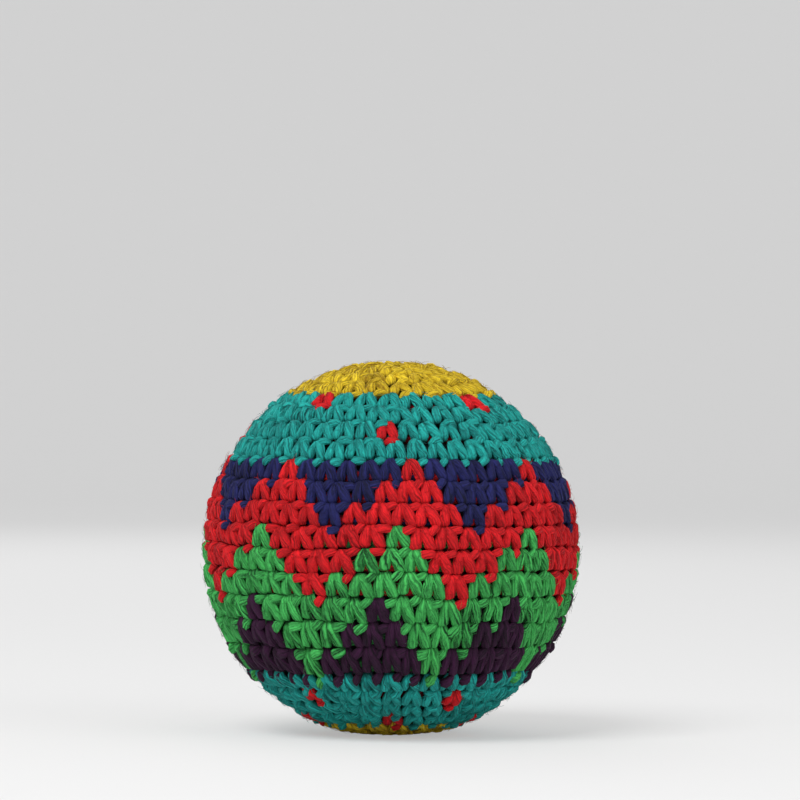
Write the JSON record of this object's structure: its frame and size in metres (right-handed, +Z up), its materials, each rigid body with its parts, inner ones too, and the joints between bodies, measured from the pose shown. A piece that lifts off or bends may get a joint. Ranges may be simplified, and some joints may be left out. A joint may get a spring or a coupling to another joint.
{
  "type": "crocheted footbag",
  "caption": "Small round kick bag: a crocheted cover with a zigzag colour pattern, filled with loose plastic pellets.",
  "frame": {"origin": "middle of the flat that the bag rests on, under its centre", "axes": "+Z up along the pole axis from the closing knot to the start loop, -Y towards the front, +X to the right seen from the front"},
  "size_m": [0.06, 0.06, 0.0588],
  "materials": {
    "yellow_yarn": "matte",
    "teal_yarn": "matte",
    "navy_yarn": "matte",
    "red_yarn": "matte",
    "green_yarn": "matte",
    "purple_yarn": "matte",
    "pellet_plastic": "satin"
  },
  "bodies": {
    "root": {"round_01_yellow": "yellow_yarn", "round_02_yellow": "yellow_yarn", "round_03_yellow": "yellow_yarn", "round_04_yellow": "yellow_yarn", "round_05_teal": "teal_yarn", "round_06_teal": "teal_yarn", "round_07_teal": "teal_yarn", "round_08_teal": "teal_yarn", "round_18_teal": "teal_yarn", "round_19_teal": "teal_yarn", "round_20_teal": "teal_yarn", "round_21_teal": "teal_yarn", "round_22_yellow": "yellow_yarn", "round_23_yellow": "yellow_yarn", "round_24_yellow": "yellow_yarn", "motif_navy": "navy_yarn", "motif_red": "red_yarn", "motif_green": "green_yarn", "motif_purple": "purple_yarn", "red_spots_round_05": "red_yarn", "red_spots_round_07": "red_yarn", "red_spots_round_19": "red_yarn", "red_spots_round_21": "red_yarn", "start_loop": "yellow_yarn", "closing_knot": "yellow_yarn", "pellet_bed": "pellet_plastic", "loose_pellet_01": "pellet_plastic", "loose_pellet_02": "pellet_plastic", "loose_pellet_03": "pellet_plastic", "loose_pellet_04": "pellet_plastic", "loose_pellet_05": "pellet_plastic", "loose_pellet_06": "pellet_plastic", "loose_pellet_07": "pellet_plastic", "loose_pellet_08": "pellet_plastic"}
  },
  "joints": []
}
